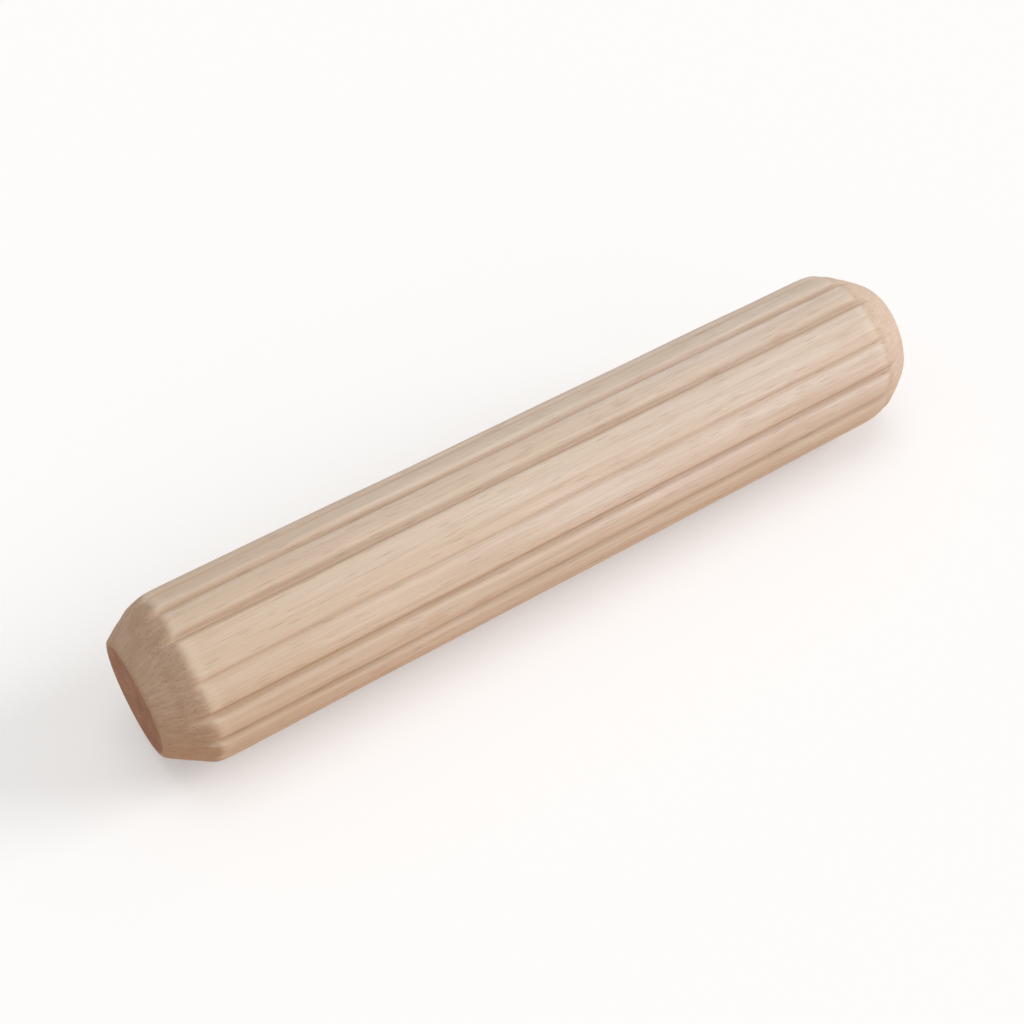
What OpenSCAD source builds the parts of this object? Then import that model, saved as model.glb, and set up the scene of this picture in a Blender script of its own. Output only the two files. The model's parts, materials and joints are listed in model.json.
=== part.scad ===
// Fluted wooden dowel pin.
// One straight piece of hardwood: a round rod with pressed grooves along its whole length
// and a bevel at each end that leads it into a drilled hole.
// The grooves are evenly spaced but for one wider ridge, where the first and the last of them stand apart.
// The pin lies along X with its middle at the origin. A groove faces straight down, so the pin
// rests on the two ridges beside that groove.

/* [Pin] */
// Length from one end face to the other
pin_length = 40; // [20:1:80]
// Diameter over the tops of the ridges
crest_d = 7.8; // [6:0.1:12]

/* [Flutes] */
// Number of grooves round the pin
flute_count = 16; // [8:1:20]
// Angle that the widest ridge takes up beyond the others
wide_ridge_extra = 10; // [0:0.5:20]
// Which groove faces straight down, counted round from the widest ridge
lowest_groove = 6; // [0:1:7]
// Depth of a groove below the tops of the ridges
flute_depth = 0.3; // [0.2:0.01:0.45]
// Angle between the two sides of a groove
flute_angle = 60; // [50:1:75]
// Radius of the rounded bottom of a groove
valley_r = 0.12; // [0.08:0.01:0.16]
// Radius of the rounded shoulder between a groove and the top of a ridge
shoulder_r = 0.2; // [0.1:0.01:0.25]

/* [Ends] */
// Length of the bevel, measured along the pin
bevel_length = 1.9; // [1.2:0.1:4]
// Depth of the bevel, measured on the radius
bevel_depth = 1.2; // [0.6:0.05:1.8]
// Radius of the softened edge round each end face
rim_r = 0.25; // [0.1:0.05:0.4]

/* [Hidden] */
$fn = 96;

beech = "#d9c3a5";
crest_r = crest_d / 2;
half_length = pin_length / 2;
past = 0.2;      // how far a cutting shape runs past what it cuts
overlap = 0.03;  // share of its radius by which an arc crosses the surface it runs into, for a clean corner

groove_step = (360 - wide_ridge_extra) / flute_count;

// A groove, drawn with its middle on +Y. Its sides lean away from the middle by half its angle.
side_lean = flute_angle / 2;
side_out = [cos(side_lean), -sin(side_lean)];  // square to the right side, into the ridge
valley_reach = (1 - overlap) * valley_r;
valley_centre = [0, crest_r - flute_depth + valley_r];
valley_foot = valley_centre + valley_reach * side_out;
sides_meet_y = valley_centre.y - valley_reach / sin(side_lean);

// The right shoulder: an arc that runs into the side of the groove and into the top of the ridge
shoulder_reach = (1 - overlap) * shoulder_r;
shoulder_orbit = crest_r - shoulder_reach;
shoulder_angle = side_lean + asin((shoulder_reach - sides_meet_y * sin(side_lean)) / shoulder_orbit);
shoulder_centre = shoulder_orbit * [sin(shoulder_angle), cos(shoulder_angle)];
shoulder_foot = shoulder_centre - shoulder_reach * side_out;
shoulder_edge = (crest_r + past) * [sin(shoulder_angle), cos(shoulder_angle)];

// The bevel, drawn as radius and height up the pin's axis. It meets the end face at end_corner.
bevel_lean = atan(bevel_depth / bevel_length);
bevel_out = [cos(bevel_lean), sin(bevel_lean)];
bevel_along = [-sin(bevel_lean), cos(bevel_lean)];
end_corner = [crest_r - bevel_depth, half_length];
bevel_start = end_corner - bevel_along * (bevel_depth + past) / sin(bevel_lean);

// The softened edge: an arc that runs into the end face and into the bevel
rim_reach = (1 - overlap) * rim_r;
rim_centre = end_corner - rim_reach * [tan(45 - bevel_lean / 2), 1];
rim_top = [rim_centre.x, half_length];
rim_side = rim_centre + rim_reach * bevel_out;

function mirrored(p) = [-p.x, p.y];

module groove() {
    difference() {
        polygon([
            valley_foot, shoulder_foot, shoulder_centre, shoulder_edge,
            mirrored(shoulder_edge), mirrored(shoulder_centre), mirrored(shoulder_foot), mirrored(valley_foot)
        ]);
        for (centre = [shoulder_centre, mirrored(shoulder_centre)])
            translate(centre)
                circle(r = shoulder_r);
    }
    translate(valley_centre)
        circle(r = valley_r);
}

// The section as seen from the right end of the pin, with its top on +Y
module fluted_section() {
    difference() {
        circle(r = crest_r);
        for (n = [0 : flute_count - 1])
            rotate(180 + (n - lowest_groove) * groove_step)
                groove();
    }
}

// What the softened edge takes off the corner between the end face and the bevel
module rim_waste() {
    difference() {
        polygon([
            rim_top, rim_side, rim_side + past * bevel_out,
            end_corner + past * [1, 1], rim_top + [0, past]
        ]);
        translate(rim_centre)
            circle(r = rim_r);
    }
}

// Half of the outline that the turned ends give the pin, from its middle up to one end face
module half_outline() {
    difference() {
        polygon([
            [0, -past], [bevel_start.x, -past], bevel_start, end_corner, [0, half_length]
        ]);
        rim_waste();
    }
}

module bevelled_envelope() {
    for (turn = [0, 180])
        rotate([turn, 0, 0])
            rotate_extrude()
                half_outline();
}

module dowel_pin() {
    color(beech)
        rotate([0, 90, 0])
            intersection() {
                linear_extrude(pin_length + 2 * past, center = true)
                    rotate(90)
                        fluted_section();
                bevelled_envelope();
            }
}

dowel_pin();
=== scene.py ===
"""One fluted wooden dowel pin, lying on a plain pale floor.

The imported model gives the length, the diameter and the bevel's length. The mesh made here takes the
place of the plain CAD solid: the same pressed grooves and bevelled ends, with the unevenness of pressed
and sawn wood. Sizes are in millimetres, and MM turns them into Blender's metres.
"""
import json
import math

import bpy
import numpy as np
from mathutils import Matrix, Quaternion, Vector


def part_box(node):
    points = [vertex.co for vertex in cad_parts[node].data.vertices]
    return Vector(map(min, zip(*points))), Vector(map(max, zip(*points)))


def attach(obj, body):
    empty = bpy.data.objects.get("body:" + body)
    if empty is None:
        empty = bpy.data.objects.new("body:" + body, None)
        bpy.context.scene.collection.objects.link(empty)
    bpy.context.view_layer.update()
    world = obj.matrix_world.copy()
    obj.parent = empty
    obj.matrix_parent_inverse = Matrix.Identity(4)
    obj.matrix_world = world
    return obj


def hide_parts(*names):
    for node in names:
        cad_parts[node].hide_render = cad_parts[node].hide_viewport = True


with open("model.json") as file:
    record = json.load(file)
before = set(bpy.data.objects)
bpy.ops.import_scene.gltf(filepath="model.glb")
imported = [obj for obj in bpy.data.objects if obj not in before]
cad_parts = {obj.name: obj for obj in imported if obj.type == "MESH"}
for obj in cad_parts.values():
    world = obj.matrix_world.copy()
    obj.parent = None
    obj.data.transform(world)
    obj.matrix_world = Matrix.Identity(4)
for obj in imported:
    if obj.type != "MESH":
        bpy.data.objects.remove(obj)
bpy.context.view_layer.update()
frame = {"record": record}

MM = 0.001
FULL_TURN = 2 * math.pi
NODE = "dowel_pin"

# ---- The pin's driving sizes -------------------------------------------------------------------

pin_low, pin_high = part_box(NODE)
barrel = next(m for m in frame["record"]["mounts"] if m["name"] == "barrel")
CREST_R = barrel["dims"]["r_mm"]
HALF_LENGTH = pin_high.x / MM
BEVEL_LENGTH = HALF_LENGTH - barrel["dims"]["length_mm"] / 2
FLOOR_LEVEL = pin_low.z / MM

FLUTE_COUNT = 16
WIDE_RIDGE_EXTRA = math.radians(10)
GROOVE_SHIFT = math.radians(3)       # how far grooves are moved away from the wide ridge, at most
GROOVE_JITTER = math.radians(0.6)
LOWEST_GROOVE = 6
FLUTE_DEPTH = 0.3
FLUTE_ANGLE = math.radians(60)
FAINT_GROOVE = 0                     # beside the wide ridge, pressed less than the others
FAINT_SHARE = 0.4
VALLEY_R = 0.1
SHOULDER_SOFTNESS = 0.07
BEVEL_DEPTH = 1.2
BEVEL_CROWN = 0.04                   # how far the bevel's middle stands proud of a straight line
EDGE_SOFTNESS = 0.09                 # rounding where a ridge runs into the bevel
RIM_R = 0.25

# ---- How far the surface strays from those sizes -------------------------------------------------

DEPTH_SHARES = (-0.14, 0.06)         # the least and the most that a groove's depth differs
DEPTH_WAVES = 0.05                   # share of its depth by which a groove rises and falls along it
SHARED_WANDER = 0.005                # sideways, all grooves together
OWN_WANDER = 0.003                   # sideways, each groove by itself
FIBRE_RELIEF = 0.006
SWELLS = 0.007
NICK_COUNT = 60
NICK_DEPTHS = (0.01, 0.035)
NICK_LENGTHS = (0.3, 1.3)
NICK_WIDTHS = (0.05, 0.16)
BEVEL_RUNOUT = 0.03                  # how far the bevel was cut out of true
RUNOUT_REACH = 0.3                   # depth below the crest at which all of that shows
CUTTER_MARKS = 0.004
TORN_RELIEF = 0.006
SAWN_RELIEF = 0.012
SAWN_WAVES = 30

# ---- Where the wood's colour changes, by how deep the bevel has cut there ------------------------

TORN_FROM, TORN_TO = -0.26, 0.10     # the bevel's colour fades in from one to the other
NOTCH_SHARE = 0.6                    # how far up a groove's run-out it reaches
TIP_HIGHLIGHT_AT = -0.3                   # where the painted highlight lies on the rounded tip of a ridge
TIP_HIGHLIGHT_WIDTH = 0.14

# ---- How finely the mesh is cut ------------------------------------------------------------------

STEPS_PER_RIDGE = 24
STEPS_ON_WIDE_RIDGE = 32
GROOVE_CROWDING = 0.45               # how much closer the steps stand in the grooves
BARREL_RINGS = 76
LEAD = 0.9                           # stretch of the barrel beside each bevel that is cut as finely
LEAD_RINGS = 10
BEVEL_RINGS = 44
RIM_RINGS = 6
FACE_RINGS = 16

# ---- Where the pin was cut from the log ----------------------------------------------------------

PITH_TO_AXIS = (0, 9.0, 15.0)        # from the middle of the log to the pin's axis
RING_SPACING = 1.7


def smooth_max(a, b, softness):
    return 0.5 * (a + b + np.sqrt((a - b) ** 2 + 4 * softness ** 2))


def smooth_min(a, b, softness):
    return -smooth_max(-a, -b, softness)


def wavy(rng, around, along, turns, length, count):
    """A smooth random height of about 1, closed round the pin.

    turns is the least and the most waves round the pin, length the least and the most along it."""
    height = np.zeros(np.broadcast(around, along).shape)
    for _ in range(count):
        waves = rng.integers(turns[0], turns[1] + 1)
        pace = FULL_TURN / rng.uniform(*length) * rng.choice([-1, 1])
        height += np.sin(waves * around + pace * along + rng.uniform(0, FULL_TURN))
    return height * math.sqrt(2 / count)


def groove_angles(rng):
    """Each groove's place round the pin, from straight up towards -Y.

    They stand a little further apart on the side of the wide ridge, as in the photo."""
    step = (FULL_TURN - WIDE_RIDGE_EXTRA) / FLUTE_COUNT
    even = math.pi + (np.arange(FLUTE_COUNT) - LOWEST_GROOVE) * step
    wide_ridge = even[0] - (step + WIDE_RIDGE_EXTRA) / 2
    shift = GROOVE_SHIFT * np.sin(even - wide_ridge) + GROOVE_JITTER * rng.uniform(-1, 1, FLUTE_COUNT)
    shift[LOWEST_GROOVE] = 0
    return even + shift


def angles_round(grooves):
    """The angles of the mesh's columns, crowded together at the grooves."""
    ends = np.append(grooves[1:], grooves[0] + FULL_TURN)
    steps = [STEPS_PER_RIDGE] * (FLUTE_COUNT - 1) + [STEPS_ON_WIDE_RIDGE]
    columns = []
    for start, end, count in zip(grooves, ends, steps):
        t = np.arange(count) / count
        t = t - GROOVE_CROWDING * np.sin(FULL_TURN * t) / FULL_TURN
        columns.append(start + t * (end - start))
    return np.concatenate(columns)


def end_outline():
    """The turned end's outline from the barrel to the face: distances back from the face, and radii.

    It starts where the bevel's cone, carried on past the barrel, still lies outside it."""
    lean = math.atan2(BEVEL_DEPTH, BEVEL_LENGTH)
    setback = RIM_R * math.tan((math.pi / 2 - lean) / 2)   # from the sharp corner to the rim's arc
    ahead = LEAD * np.linspace(1, 0, LEAD_RINGS, endpoint=False) ** 1.3
    t = np.linspace(0, 1, BEVEL_RINGS, endpoint=False) ** 1.4
    back = BEVEL_LENGTH - (BEVEL_LENGTH - setback * math.cos(lean)) * t
    radius = CREST_R - BEVEL_DEPTH * (1 - back / BEVEL_LENGTH) + BEVEL_CROWN * 4 * t * (1 - t)
    turned = lean + np.linspace(0, 1, RIM_RINGS + 1) * (math.pi / 2 - lean)
    rim_back = RIM_R - RIM_R * np.sin(turned)
    rim_radius = CREST_R - BEVEL_DEPTH - setback + RIM_R * np.cos(turned)
    backs = [BEVEL_LENGTH + ahead, back, rim_back]
    radii = [CREST_R + ahead * math.tan(lean), radius, rim_radius]
    return np.concatenate(backs), np.concatenate(radii)


def flute_drop(rng, grooves, around, along):
    """How far below the crest the pressed grooves lie."""
    side_slope = 1 / math.tan(FLUTE_ANGLE / 2)
    depths = FLUTE_DEPTH * (1 + rng.uniform(*DEPTH_SHARES, FLUTE_COUNT))
    depths[FAINT_GROOVE] = FAINT_SHARE * FLUTE_DEPTH
    wander = SHARED_WANDER * wavy(rng, 0 * around, along, (0, 0), (15, 40), 4)
    drop = np.zeros(np.broadcast(around, along).shape)
    for place, depth in zip(grooves, depths):
        own = OWN_WANDER * wavy(rng, 0 * around, along, (0, 0), (6, 20), 4)
        deep = depth * (1 + DEPTH_WAVES * wavy(rng, 0 * around, along, (0, 0), (9, 40), 5))
        off = (around - place + math.pi) % FULL_TURN - math.pi
        side = off * CREST_R + wander + own
        rise = side_slope * (np.sqrt(side ** 2 + VALLEY_R ** 2) - VALLEY_R)
        drop = np.maximum(drop, smooth_max(deep - rise, 0, SHOULDER_SOFTNESS))
    return drop


def nicks(rng, around, along):
    """Small dents and torn fibres, longer along the grain than across it."""
    dents = np.zeros(np.broadcast(around, along).shape)
    for _ in range(NICK_COUNT):
        where_x = rng.uniform(-HALF_LENGTH, HALF_LENGTH)
        where_angle = rng.uniform(0, FULL_TURN)
        long = rng.uniform(*NICK_LENGTHS)
        wide = rng.uniform(*NICK_WIDTHS)
        off = (around - where_angle + math.pi) % FULL_TURN - math.pi
        spread = ((along - where_x) / long) ** 2 + (off * CREST_R / wide) ** 2
        dents += rng.uniform(*NICK_DEPTHS) * np.exp(-spread)
    return dents


def pressed_barrel(rng, drop, around, along):
    """The radius that pressing left: the grooves, with fibres, swells and nicks."""
    fibres = FIBRE_RELIEF * wavy(rng, around, along, (40, 150), (14, 60), 40)
    swells = SWELLS * wavy(rng, around, along, (4, 24), (7, 30), 20)
    return CREST_R - drop + fibres + swells - nicks(rng, around, along)


def cut_ends(rng, envelope, around, along):
    """The radius that cutting the bevels left: their outline, a little out of true, marked and torn."""
    runout = BEVEL_RUNOUT * wavy(rng, around, 0 * along, (1, 4), (5, 9), 5) * np.sign(along)
    marks = CUTTER_MARKS * wavy(rng, around, along, (0, 6), (0.5, 1.1), 6)
    torn = TORN_RELIEF * wavy(rng, around, along, (20, 90), (1.5, 5), 40)
    depth_share = np.clip((CREST_R - envelope) / RUNOUT_REACH, 0, 1)
    return envelope + np.where(envelope < CREST_R, marks + torn, 0) + runout * depth_share


def sawn_face(rng, rim_radius, around, side):
    """An end face as rings that shrink from the rim, sunk a little where the saw tore the fibres."""
    share = np.linspace(1, 0, FACE_RINGS + 2)[1:-1][:, None]
    radius = rim_radius[None, :] * share
    y, z = -radius * np.sin(around), radius * np.cos(around)
    rough = np.zeros_like(radius)
    for _ in range(SAWN_WAVES):
        turn = rng.uniform(0, FULL_TURN)
        pace = FULL_TURN / rng.uniform(0.5, 2.6)
        rough += np.sin(pace * (y * math.cos(turn) + z * math.sin(turn)) + rng.uniform(0, FULL_TURN))
    rough *= math.sqrt(2 / SAWN_WAVES)
    sunk = SAWN_RELIEF * np.clip(rough + 1.2, 0, None) * np.clip((1 - share) * 6, 0, 1)
    return side * (HALF_LENGTH - sunk), radius


def skin(x, radius, around, layers):
    """A closed mesh from rings of points, its faces turned outwards. A layer gives each point a number."""
    y, z = -radius * np.sin(around), radius * np.cos(around)
    points = np.stack([x, y, z], axis=-1).reshape(-1, 3)
    middles = [[x[0].mean(), 0, 0], [x[-1].mean(), 0, 0]]
    rows, columns = radius.shape
    index = np.arange(rows * columns).reshape(rows, columns)
    beside = np.roll(index, -1, axis=1)
    sides = np.stack([index[:-1], beside[:-1], beside[1:], index[1:]], axis=-1).reshape(-1, 4)
    first, last = np.full(columns, rows * columns), np.full(columns, rows * columns + 1)
    left = np.stack([beside[0], index[0], first], axis=-1)
    right = np.stack([index[-1], beside[-1], last], axis=-1)

    mesh = bpy.data.meshes.new("fluted_pin")
    vertices = np.concatenate([points, middles]) * MM
    mesh.from_pydata(vertices.tolist(), [], sides.tolist() + left.tolist() + right.tolist())
    mesh.polygons.foreach_set("use_smooth", [True] * len(mesh.polygons))
    for name, values in layers.items():
        layer = mesh.attributes.new(name, "FLOAT", "POINT")
        middle = [values[0].mean(), values[-1].mean()]
        layer.data.foreach_set("value", np.append(values.ravel(), middle).astype(np.float32))
    mesh.update()
    return mesh


def skin_layers(pressed, cut, drop):
    """How much of the bevel's cut, of a groove and of the painted highlight on a ridge tip there is at each
    point, 0 to 1.
    """
    cut_depth = pressed - cut
    torn_depth = cut_depth + NOTCH_SHARE * drop            # the notches between the ridge tips are torn too
    on_cut = np.clip((torn_depth - TORN_FROM) / (TORN_TO - TORN_FROM), 0, 1)
    on_ridge = 1 - np.clip(drop / FLUTE_DEPTH, 0, 1)
    in_groove = (1 - on_ridge) * (1 - on_cut)
    # the painted highlight: pale just short of the bevel on each ridge tip
    on_edge = np.exp(-((cut_depth - TIP_HIGHLIGHT_AT) / TIP_HIGHLIGHT_WIDTH) ** 2) * on_ridge
    return on_cut, in_groove, on_edge


def pin_mesh():
    """The pin's whole skin, from the middle of one end face to the middle of the other."""
    rng = np.random.default_rng(20)
    grooves = groove_angles(rng)
    around = angles_round(grooves)[None, :]

    back, outline = end_outline()
    half_barrel = HALF_LENGTH - back[0]
    barrel_x = np.linspace(-half_barrel, half_barrel, BARREL_RINGS + 2)[1:-1]
    along = np.concatenate([back[::-1] - HALF_LENGTH, barrel_x, HALF_LENGTH - back])[:, None]
    clear = np.full(BARREL_RINGS, CREST_R + 1)             # the bevel's outline doesn't reach the barrel
    envelope = np.concatenate([outline[::-1], clear, outline])[:, None]

    drop = flute_drop(rng, grooves, around, along)
    pressed = pressed_barrel(rng, drop, around, along)
    cut = cut_ends(rng, envelope, around, along)
    radius = np.minimum(smooth_min(pressed, cut, EDGE_SOFTNESS), CREST_R)
    on_cut, in_groove, on_edge = skin_layers(pressed, cut, drop)

    left_x, left_r = sawn_face(rng, radius[0], around, -1)
    right_x, right_r = sawn_face(rng, radius[-1], around, 1)
    x = np.vstack([left_x[::-1], np.broadcast_to(along, radius.shape), right_x])
    flat = np.zeros_like(left_r)
    layers = {
        "cut": np.vstack([flat + 2, on_cut, flat + 2]),    # 1 on the bevels, 2 on the end faces
        "groove": np.vstack([flat, in_groove, flat]),
        # where the painted highlight lies on the ridge tips
        "edge": np.vstack([flat, on_edge, flat]),
    }
    return skin(x, np.vstack([left_r[::-1], radius, right_r]), around, layers)


# ---- Materials -----------------------------------------------------------------------------------


def rgb(red, green, blue):
    """A colour written as it looks on a screen, 0 to 255, in the shader's linear values."""
    linear = [((c / 255 + 0.055) / 1.055) ** 2.4 for c in (red, green, blue)]
    return (*linear, 1.0)


class Nodes:
    """A short way to write a node tree: an input is either a value or another node's output."""

    def __init__(self, tree):
        self.tree = tree
        self.tree.nodes.clear()

    def add(self, kind, inputs=(), **settings):
        node = self.tree.nodes.new(kind)
        for name, value in settings.items():
            setattr(node, name, value)
        for socket, value in dict(inputs).items():
            if isinstance(value, bpy.types.NodeSocket):
                self.tree.links.new(value, node.inputs[socket])
            else:
                node.inputs[socket].default_value = value
        return node

    def math(self, operation, a, b=0.0, c=0.0, clamp=False):
        inputs = {0: a, 1: b, 2: c}
        return self.add("ShaderNodeMath", inputs, operation=operation, use_clamp=clamp).outputs[0]

    def times(self, a, b):
        return self.math("MULTIPLY", a, b)

    def vector(self, operation, a, b):
        return self.add("ShaderNodeVectorMath", {0: a, 1: b}, operation=operation)

    def scaled(self, vector, factors):
        return self.vector("MULTIPLY", vector, factors).outputs[0]

    def noise(self, vector, detail=2.0, roughness=0.5):
        settings = {"Vector": vector, "Scale": 1.0, "Detail": detail, "Roughness": roughness}
        return self.add("ShaderNodeTexNoise", settings)

    def grey_noise(self, vector, detail=2.0, roughness=0.5):
        return self.noise(vector, detail, roughness).outputs[0]

    def spots(self, vector, bare, inner, outer):
        """Random spots, 1 at their middles. bare is the share of cells without one."""
        cells = self.add("ShaderNodeTexVoronoi", {"Vector": vector, "Scale": 1.0})
        drawn = self.add("ShaderNodeSeparateColor", {0: cells.outputs["Color"]}).outputs[0]
        spot = self.ramp(cells.outputs["Distance"], outer, inner)
        return self.times(spot, self.math("GREATER_THAN", drawn, bare))

    def point_value(self, name):
        """A layer of the mesh, one number for each point."""
        return self.add("ShaderNodeAttribute", attribute_name=name).outputs["Fac"]

    def ramp(self, value, low, high, to_low=0.0, to_high=1.0):
        """Smoothly from to_low at low to to_high at high. low may be the greater."""
        if low > high:
            low, high, to_low, to_high = high, low, to_high, to_low
        inputs = {0: value, 1: low, 2: high, 3: to_low, 4: to_high}
        settings = {"interpolation_type": "SMOOTHSTEP", "clamp": True}
        return self.add("ShaderNodeMapRange", inputs, **settings).outputs[0]

    def mix(self, share, a, b):
        return self.add("ShaderNodeMix", {0: share, 6: a, 7: b}, data_type="RGBA").outputs[2]


def place_in_log(n, mm):
    """How far along the log, round it and out from the pith a point stands."""
    drift = n.noise(n.scaled(mm, (0.03, 0.22, 0.22)), 1.0).outputs["Color"]
    moved = n.vector("ADD", n.scaled(drift, (0, 1.6, 1.6)), mm).outputs[0]
    from_pith = n.vector("ADD", moved, PITH_TO_AXIS).outputs[0]
    x, y, z = n.add("ShaderNodeSeparateXYZ", {0: from_pith}).outputs
    outward = n.math("SQRT", n.math("ADD", n.times(y, y), n.times(z, z)))
    round_log = n.times(n.math("ARCTAN2", y, z), math.hypot(*PITH_TO_AXIS))
    return x, round_log, outward


class Figure:
    """The figure of beech, each part of it from 0 to 1. It is worked out in the wood's own space, so that
    the barrel shows grain along the pin and the ends show the same rings, rays and pores cut across."""

    def __init__(self, n, mm, on_skin):
        along, round_log, outward = place_in_log(n, mm)
        ring = n.math("FRACT", n.times(outward, 1 / RING_SPACING))
        self.late_wood = n.times(n.ramp(ring, 0.3, 0.9), n.ramp(ring, 1.0, 0.9))
        in_rays = n.add("ShaderNodeCombineXYZ", {0: along, 1: round_log, 2: outward}).outputs[0]
        self.flecks = n.spots(n.scaled(in_rays, (0.42, 3.0, 0.35)), 0.55, 0.12, 0.34)
        self.rays = n.ramp(n.grey_noise(n.scaled(in_rays, (0.3, 7.5, 0.45)), 2.0), 0.5, 0.66)

        self.patches = n.grey_noise(n.scaled(mm, (0.07, 0.35, 0.35)), 3.0)
        self.streaks = n.grey_noise(n.scaled(mm, (0.12, 3.2, 3.2)), 4.0, 0.6)
        self.fibres = n.grey_noise(n.scaled(mm, (0.45, 11.0, 11.0)), 5.0, 0.75)
        self.hairs = n.ramp(n.grey_noise(n.scaled(mm, (0.2, 15.0, 15.0)), 2.0), 0.56, 0.70)
        self.pores = n.spots(n.scaled(mm, (0.6, 8.0, 8.0)), 0.5, 0.12, 0.30)
        self.mottle = n.grey_noise(n.scaled(mm, (0.8, 1.3, 1.3)), 5.0, 0.7)
        self.saw = n.grey_noise(n.scaled(mm, (1.0, 1.2, 13.0)), 3.0, 0.6)
        self.tears = n.grey_noise(n.scaled(on_skin, (1.3, 6.0, 1.0)), 5.0, 0.7)


def side_colour(n, figure, along_pin):
    """The pressed side: pale, with painted shade that makes it duller towards the left end and darker in
    the grooves, where the pressed fibres are darker too, and a painted highlight on the ridge tips.
    """
    groove, edge = n.point_value("groove"), n.point_value("edge")
    colour = n.mix(n.ramp(figure.patches, 0.35, 0.68), rgb(217, 202, 186), rgb(222, 208, 197))
    # painted shade: duller and darker towards the left end, which faces away from the key lamp
    colour = n.mix(n.ramp(along_pin, 0.0, -20.0), colour, rgb(205, 185, 163))
    colour = n.mix(n.ramp(figure.streaks, 0.66, 0.36, 0.0, 0.5), colour, rgb(205, 186, 167))
    colour = n.mix(n.times(figure.late_wood, 0.30), colour, rgb(203, 178, 153))
    colour = n.mix(n.ramp(figure.fibres, 0.65, 0.35, 0.0, 0.3), colour, rgb(187, 161, 139))
    colour = n.mix(n.times(figure.hairs, 0.2), colour, rgb(176, 148, 124))
    colour = n.mix(n.times(figure.flecks, 0.16), colour, rgb(172, 126, 92))
    colour = n.mix(n.times(figure.pores, 0.16), colour, rgb(140, 102, 74))
    # painted shade in the grooves, on top of the darker pressed fibres there
    colour = n.mix(n.ramp(groove, 0.0, 0.9, 0.0, 0.42), colour, rgb(170, 136, 106))
    # painted highlight on the ridge tips
    return n.mix(n.times(edge, 0.14), colour, rgb(233, 218, 203))


def bevel_colour(n, figure):
    """The bevels, where the cutter tore the fibres."""
    colour = n.mix(n.ramp(figure.mottle, 0.3, 0.7), rgb(178, 150, 127), rgb(192, 168, 147))
    colour = n.mix(n.ramp(figure.tears, 0.62, 0.38, 0.0, 0.45), colour, rgb(156, 125, 102))
    return n.mix(n.times(figure.pores, 0.4), colour, rgb(120, 84, 60))


def face_colour(n, figure):
    """The sawn end grain, redder and darker, with rays across it."""
    colour = n.mix(n.ramp(figure.mottle, 0.25, 0.75), rgb(156, 112, 88), rgb(178, 137, 111))
    colour = n.mix(n.ramp(figure.patches, 0.56, 0.40, 0.0, 0.4), colour, rgb(132, 88, 67))
    colour = n.mix(n.times(figure.late_wood, 0.40), colour, rgb(138, 94, 71))
    colour = n.mix(n.times(figure.rays, 0.15), colour, rgb(205, 174, 149))
    colour = n.mix(n.ramp(figure.saw, 0.6, 0.4, 0.0, 0.2), colour, rgb(140, 102, 80))
    return n.mix(n.times(figure.pores, 0.45), colour, rgb(106, 72, 54))


def fine_height(n, figure, bevel, face):
    """The relief that is too fine for the mesh: fibres, pores, torn bevels and sawn ends."""
    torn = n.times(n.math("SUBTRACT", figure.tears, 0.5), n.math("SUBTRACT", bevel, face))
    sawn = n.times(n.math("SUBTRACT", figure.saw, 0.5), face)
    height = n.math("MULTIPLY_ADD", figure.fibres, 0.8, n.times(figure.streaks, 0.5))
    height = n.math("MULTIPLY_ADD", figure.pores, -0.6, height)
    height = n.math("MULTIPLY_ADD", figure.hairs, -0.3, height)
    height = n.math("MULTIPLY_ADD", torn, 1.6, height)
    return n.math("MULTIPLY_ADD", sawn, 1.4, height)


def wood():
    """Bare beech, pressed on the side, cut on the bevels and sawn on the end faces."""
    material = bpy.data.materials.new("beech_bare")
    material.use_nodes = True
    n = Nodes(material.node_tree)
    mm = n.scaled(n.add("ShaderNodeTexCoord").outputs["Object"], (1 / MM, 1 / MM, 1 / MM))
    x, y, z = n.add("ShaderNodeSeparateXYZ", {0: mm}).outputs
    round_pin = n.times(n.math("ARCTAN2", y, z), CREST_R)
    on_skin = n.add("ShaderNodeCombineXYZ", {0: x, 1: round_pin}).outputs[0]
    figure = Figure(n, mm, on_skin)

    cut = n.point_value("cut")
    face = n.math("SUBTRACT", cut, 1.0, clamp=True)
    ragged = n.math("MULTIPLY_ADD", n.math("SUBTRACT", figure.tears, 0.5), 0.7, cut)
    bevel = n.ramp(ragged, 0.2, 0.8)
    bevel_share_with_left_shade = n.ramp(x, -5.0, 5.0, 0.85, 0.35)          # the left bevel takes more of the darker torn end-grain colour: painted shade on the end turned away from the key lamp
    colour = n.mix(n.times(bevel, bevel_share_with_left_shade), side_colour(n, figure, x), bevel_colour(n, figure))
    colour = n.mix(face, colour, face_colour(n, figure))

    rough = n.math("ADD", n.ramp(figure.streaks, 0.3, 0.7, 0.66, 0.54), n.times(bevel, 0.12))
    rough = n.math("SUBTRACT", rough, n.times(n.point_value("groove"), 0.06))
    height = fine_height(n, figure, bevel, face)
    bump = n.add("ShaderNodeBump", {"Strength": 0.7, "Distance": 0.03 * MM, "Height": height}).outputs[0]
    shader = n.add("ShaderNodeBsdfPrincipled", {
        "Base Color": colour, "Roughness": rough, "Normal": bump, "IOR": 1.45, "Specular IOR Level": 0.35,
    })
    n.add("ShaderNodeOutputMaterial", {"Surface": shader.outputs[0]})
    return material


def seen_directly(n):
    """1 where a surface is looked at, straight or by way of a mirror or glass, and else 0."""
    path = n.add("ShaderNodeLightPath").outputs
    by_way = n.math("MAXIMUM", path["Is Glossy Ray"], path["Is Transmission Ray"])
    return n.math("MAXIMUM", path["Is Camera Ray"], by_way)


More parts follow.
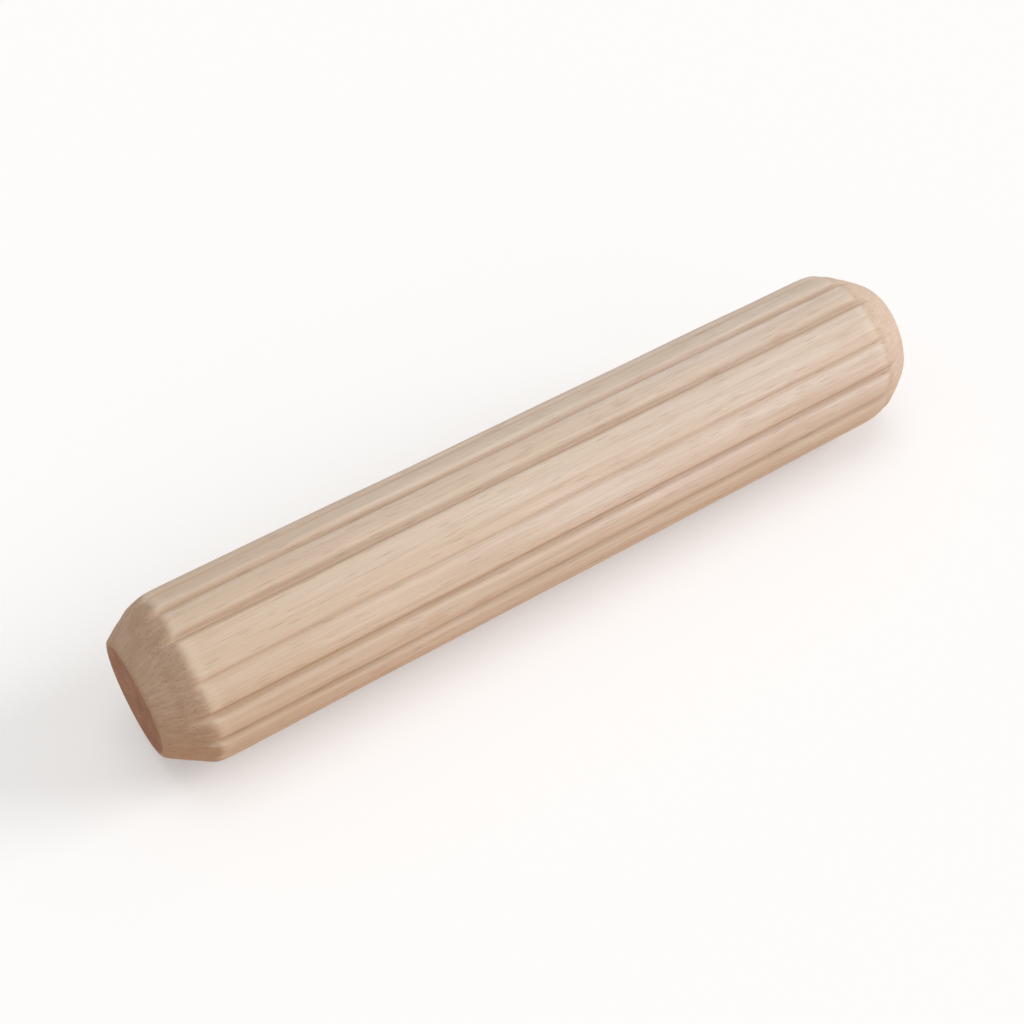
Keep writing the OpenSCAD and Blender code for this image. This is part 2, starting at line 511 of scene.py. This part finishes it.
def plain_floor():
    """Pale and plain. It looks near white, and the light that it throws back is a little duller."""
    material = bpy.data.materials.new("floor_plain")
    material.use_nodes = True
    n = Nodes(material.node_tree)
    pale = n.add("ShaderNodeBsdfDiffuse", {"Color": rgb(252, 252, 252)})
    white = n.add("ShaderNodeEmission", {"Color": (1, 1, 1, 1), "Strength": 1.04})
    shown = n.add("ShaderNodeMixShader", {0: 0.3, 1: pale.outputs[0], 2: white.outputs[0]})
    dull = n.add("ShaderNodeBsdfDiffuse", {"Color": rgb(228, 194, 164)})
    either = n.add("ShaderNodeMixShader", {0: seen_directly(n), 1: dull.outputs[0], 2: shown.outputs[0]})
    n.add("ShaderNodeOutputMaterial", {"Surface": either.outputs[0]})
    return material


# ---- Floor, light and camera ---------------------------------------------------------------------


def place_in_scene(name, data):
    thing = bpy.data.objects.new(name, data)
    bpy.context.scene.collection.objects.link(thing)
    return thing


def make_floor(size):
    half, level = size * MM / 2, FLOOR_LEVEL * MM
    corners = [(-half, -half, level), (half, -half, level), (half, half, level), (-half, half, level)]
    mesh = bpy.data.meshes.new("floor")
    mesh.from_pydata(corners, [], [(0, 1, 2, 3)])
    mesh.materials.append(plain_floor())
    place_in_scene("floor", mesh)


def make_world(level):
    """Even light from all round. It is seen as white."""
    world = bpy.data.worlds.new("studio")
    world.use_nodes = True
    n = Nodes(world.node_tree)
    light = n.add("ShaderNodeBackground", {"Color": rgb(255, 250, 246), "Strength": level})
    white = n.add("ShaderNodeBackground", {"Color": (1, 1, 1, 1), "Strength": 1.0})
    either = n.add("ShaderNodeMixShader", {0: seen_directly(n), 1: light.outputs[0], 2: white.outputs[0]})
    n.add("ShaderNodeOutputWorld", {"Surface": either.outputs[0]})
    bpy.context.scene.world = world


def make_lamp(name, towards, level, spread):
    """A broad, even lamp in the direction given. At level 1 it alone shows white as white."""
    data = bpy.data.lights.new(name, "SUN")
    data.energy = level * math.pi
    data.angle = math.radians(spread)
    place_in_scene(name, data).rotation_euler = Vector(towards).to_track_quat("Z", "Y").to_euler()


def make_camera(towards, at, distance, span, roll):
    """A camera that looks at a point from the direction given, with a picture span wide there."""
    data = bpy.data.cameras.new("camera")
    data.sensor_width = 36
    data.lens = data.sensor_width * distance / span
    data.clip_start = 5 * MM
    camera = place_in_scene("camera", data)
    towards = Vector(towards).normalized()
    camera.location = (Vector(at) + towards * distance) * MM
    facing = towards.to_track_quat("Z", "Y") @ Quaternion((0, 0, 1), math.radians(roll))
    camera.rotation_euler = facing.to_euler()
    bpy.context.scene.camera = camera


pin = place_in_scene("fluted_pin", pin_mesh())
pin.data.materials.append(wood())
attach(pin, "root")
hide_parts(NODE)

make_floor(size=4000)
make_world(level=0.50)
make_lamp("key", towards=(0.95, -0.45, 0.50), level=0.60, spread=30)
make_lamp("top", towards=(0.0, 0.0, 1.0), level=0.22, spread=40)
make_lamp("front", towards=(0.2, -1.0, 0.12), level=0.12, spread=60)
make_camera(towards=(-0.358, -0.604, 0.712), at=(-1.2, 0, 0), distance=80, span=46.6, roll=-3.8)

bpy.context.scene.view_settings.view_transform = "Standard"
